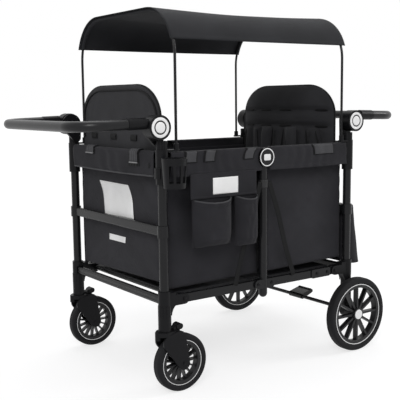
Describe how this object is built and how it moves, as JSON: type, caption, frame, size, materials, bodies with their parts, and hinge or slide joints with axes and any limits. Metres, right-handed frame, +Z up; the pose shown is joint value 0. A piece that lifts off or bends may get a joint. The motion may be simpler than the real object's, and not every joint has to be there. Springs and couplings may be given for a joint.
{
  "type": "stroller wagon",
  "caption": "Black folding stroller wagon with facing padded seats, a fabric canopy, tilting push handles, swivel front casters and large spoked rear wheels.",
  "frame": {"origin": "ground level, at the middle of the length and on the middle plane between the uprights", "axes": "+X towards the rear end with the big wheels, +Y towards the wagon's right side, +Z up"},
  "size_m": [1.3188, 0.738, 1.1654],
  "materials": {
    "frame_tube": "satin black paint",
    "plastic": "fine matte grain",
    "fabric": "woven, dark charcoal",
    "padding": "woven, padded",
    "webbing": "ribbed webbing",
    "grip": "stitched leatherette",
    "white_trim": "white, plain",
    "tyre": "matt black",
    "wheel_rim": "satin black",
    "board": "matte"
  },
  "bodies": {
    "rear_frame": {"rear_posts": "frame_tube", "rear_cross_rails": "frame_tube", "rear_brackets": "plastic", "rear_handle_hubs": "plastic", "rear_axle_struts": "plastic", "rear_end_cloth": "fabric", "rear_side_walls": "fabric", "rear_seat_back": "padding", "rear_canopy_arch": "frame_tube", "rear_bag": "fabric"},
    "front_frame": {"front_posts": "frame_tube", "front_cross_rails": "frame_tube", "front_brackets": "plastic", "front_handle_hubs": "plastic", "caster_legs": "plastic", "front_end_cloth": "fabric", "front_side_walls": "fabric", "front_seat_back": "padding", "front_canopy_arch": "frame_tube", "canopy_cover": "fabric", "cup_holder": "plastic", "organizer": "fabric"},
    "lower_rails_rear": {"rear_lower_side_rails": "frame_tube", "rear_floor_board": "board"},
    "lower_rails_front": {"front_lower_side_rails": "frame_tube", "front_floor_board": "board"},
    "upper_rails_rear": {"rear_upper_side_rails": "frame_tube", "rear_side_bands": "fabric"},
    "upper_rails_front": {"front_upper_side_rails": "frame_tube", "front_side_bands": "fabric"},
    "mid_frame": {"mid_posts": "frame_tube", "side_straps": "webbing"},
    "wall_seam_rear": {"wall_seams_rear": "fabric"},
    "wall_seam_front": {"wall_seams_front": "fabric"},
    "seat_pan_rear": {"rear_seat_board": "board", "rear_seat_cushion": "padding"},
    "seat_pan_front": {"front_seat_board": "board", "front_seat_cushion": "padding"},
    "front_handle": {"front_handle_tube": "plastic", "front_handle_grip": "grip"},
    "rear_handle": {"rear_handle_tube": "plastic", "rear_handle_grip": "grip"},
    "button_front_left": {"front_button_left": "white_trim"},
    "button_front_right": {"front_button_right": "white_trim"},
    "button_rear_left": {"rear_button_left": "white_trim"},
    "button_rear_right": {"rear_button_right": "white_trim"},
    "fork_left": {"caster_fork_left": "plastic"},
    "fork_right": {"caster_fork_right": "plastic"},
    "lock_lever_left": {"caster_lever_left": "plastic"},
    "lock_lever_right": {"caster_lever_right": "plastic"},
    "caster_wheel_left": {"caster_tyre_left": "tyre", "caster_rim_left": "wheel_rim"},
    "caster_wheel_right": {"caster_tyre_right": "tyre", "caster_rim_right": "wheel_rim"},
    "rear_wheel_left": {"rear_tyre_left": "tyre", "rear_rim_left": "wheel_rim"},
    "rear_wheel_right": {"rear_tyre_right": "tyre", "rear_rim_right": "wheel_rim"},
    "brake": {"brake_bar": "frame_tube"}
  },
  "joints": [
    {"name": "fold", "type": "hinge", "parent": "rear_frame", "child": "lower_rails_rear", "pos_m": [0.323, 0, 0.288], "axis": [0, 1, 0], "range_deg": [0, 70], "deforming": ["rear_side_bands", "front_side_bands", "side_straps"]},
    {"name": "fold_mid", "type": "hinge", "parent": "lower_rails_rear", "child": "mid_frame", "pos_m": [0.033, 0, 0.288], "axis": [0, 1, 0], "range_deg": [-70, 0]},
    {"name": "fold_lower_front", "type": "hinge", "parent": "mid_frame", "child": "lower_rails_front", "pos_m": [-0.023, 0, 0.288], "axis": [0, 1, 0], "range_deg": [-70, 0]},
    {"name": "fold_front", "type": "hinge", "parent": "lower_rails_front", "child": "front_frame", "pos_m": [-0.313, 0, 0.288], "axis": [0, 1, 0], "range_deg": [0, 70]},
    {"name": "fold_upper_rear", "type": "hinge", "parent": "rear_frame", "child": "upper_rails_rear", "pos_m": [0.323, 0, 0.704], "axis": [0, 1, 0], "range_deg": [0, 70]},
    {"name": "fold_upper_front", "type": "hinge", "parent": "front_frame", "child": "upper_rails_front", "pos_m": [-0.313, 0, 0.704], "axis": [0, 1, 0], "range_deg": [-70, 0]},
    {"name": "seam_rear", "type": "slide", "parent": "rear_frame", "child": "wall_seam_rear", "axis": [0.5736, 0, 0.8192], "range_m": [0, 0.33267]},
    {"name": "seam_front", "type": "slide", "parent": "front_frame", "child": "wall_seam_front", "axis": [-0.5736, 0, 0.8192], "range_m": [0, 0.33267]},
    {"name": "seat_rear", "type": "hinge", "parent": "rear_frame", "child": "seat_pan_rear", "pos_m": [0.323, 0, 0.47], "axis": [0, 1, 0], "range_deg": [0, 90]},
    {"name": "seat_front", "type": "hinge", "parent": "front_frame", "child": "seat_pan_front", "pos_m": [-0.313, 0, 0.47], "axis": [0, 1, 0], "range_deg": [-90, 0]},
    {"name": "front_handle_tilt", "type": "hinge", "parent": "front_frame", "child": "front_handle", "pos_m": [-0.397, 0, 0.808], "axis": [0, 1, 0], "range_deg": [-60, 65]},
    {"name": "rear_handle_tilt", "type": "hinge", "parent": "rear_frame", "child": "rear_handle", "pos_m": [0.407, 0, 0.808], "axis": [0, 1, 0], "range_deg": [-60, 60]},
    {"name": "press_front_left", "type": "slide", "parent": "front_handle", "child": "button_front_left", "axis": [0, 1, 0], "range_m": [0, 0.005], "stiffness_N_per_m": 800},
    {"name": "press_front_right", "type": "slide", "parent": "front_handle", "child": "button_front_right", "axis": [0, -1, 0], "range_m": [0, 0.005], "stiffness_N_per_m": 800},
    {"name": "press_rear_left", "type": "slide", "parent": "rear_handle", "child": "button_rear_left", "axis": [0, 1, 0], "range_m": [0, 0.005], "stiffness_N_per_m": 800},
    {"name": "press_rear_right", "type": "slide", "parent": "rear_handle", "child": "button_rear_right", "axis": [0, -1, 0], "range_m": [0, 0.005], "stiffness_N_per_m": 800},
    {"name": "swivel_left", "type": "hinge", "parent": "front_frame", "child": "fork_left", "pos_m": [-0.379, -0.287, 0.2], "axis": [0, 0, 1], "continuous": true},
    {"name": "lock_left", "type": "hinge", "parent": "fork_left", "child": "lock_lever_left", "pos_m": [-0.3505, -0.287, 0.2003], "axis": [0, -1, 0], "range_deg": [0, 25]},
    {"name": "caster_spin_left", "type": "hinge", "parent": "fork_left", "child": "caster_wheel_left", "pos_m": [-0.3255, -0.287, 0.0895], "axis": [0, 1, 0], "continuous": true},
    {"name": "wheel_spin_left", "type": "hinge", "parent": "rear_frame", "child": "rear_wheel_left", "pos_m": [0.389, -0.3355, 0.13], "axis": [0, 1, 0], "continuous": true},
    {"name": "swivel_right", "type": "hinge", "parent": "front_frame", "child": "fork_right", "pos_m": [-0.379, 0.287, 0.2], "axis": [0, 0, 1], "continuous": true},
    {"name": "lock_right", "type": "hinge", "parent": "fork_right", "child": "lock_lever_right", "pos_m": [-0.3505, 0.287, 0.2003], "axis": [0, -1, 0], "range_deg": [0, 25]},
    {"name": "caster_spin_right", "type": "hinge", "parent": "fork_right", "child": "caster_wheel_right", "pos_m": [-0.3255, 0.287, 0.0895], "axis": [0, 1, 0], "continuous": true},
    {"name": "wheel_spin_right", "type": "hinge", "parent": "rear_frame", "child": "rear_wheel_right", "pos_m": [0.389, 0.3355, 0.13], "axis": [0, 1, 0], "continuous": true},
    {"name": "brake_pedal", "type": "hinge", "parent": "rear_frame", "child": "brake", "pos_m": [0.389, 0, 0.137], "axis": [0, 1, 0], "range_deg": [0, 20]}
  ],
  "couplings": [
    {"joint": "fold_mid", "follows": "fold", "ratio": -1},
    {"joint": "fold_lower_front", "follows": "fold", "ratio": -1},
    {"joint": "fold_front", "follows": "fold", "ratio": 1},
    {"joint": "fold_upper_rear", "follows": "fold", "ratio": 1},
    {"joint": "fold_upper_front", "follows": "fold", "ratio": -1},
    {"joint": "seam_rear", "follows": "fold", "m_per_rad": 0.2723},
    {"joint": "seam_front", "follows": "fold", "m_per_rad": 0.2723},
    {"joint": "seat_rear", "follows": "fold", "ratio": 1.2857},
    {"joint": "seat_front", "follows": "fold", "ratio": -1.2857}
  ]
}
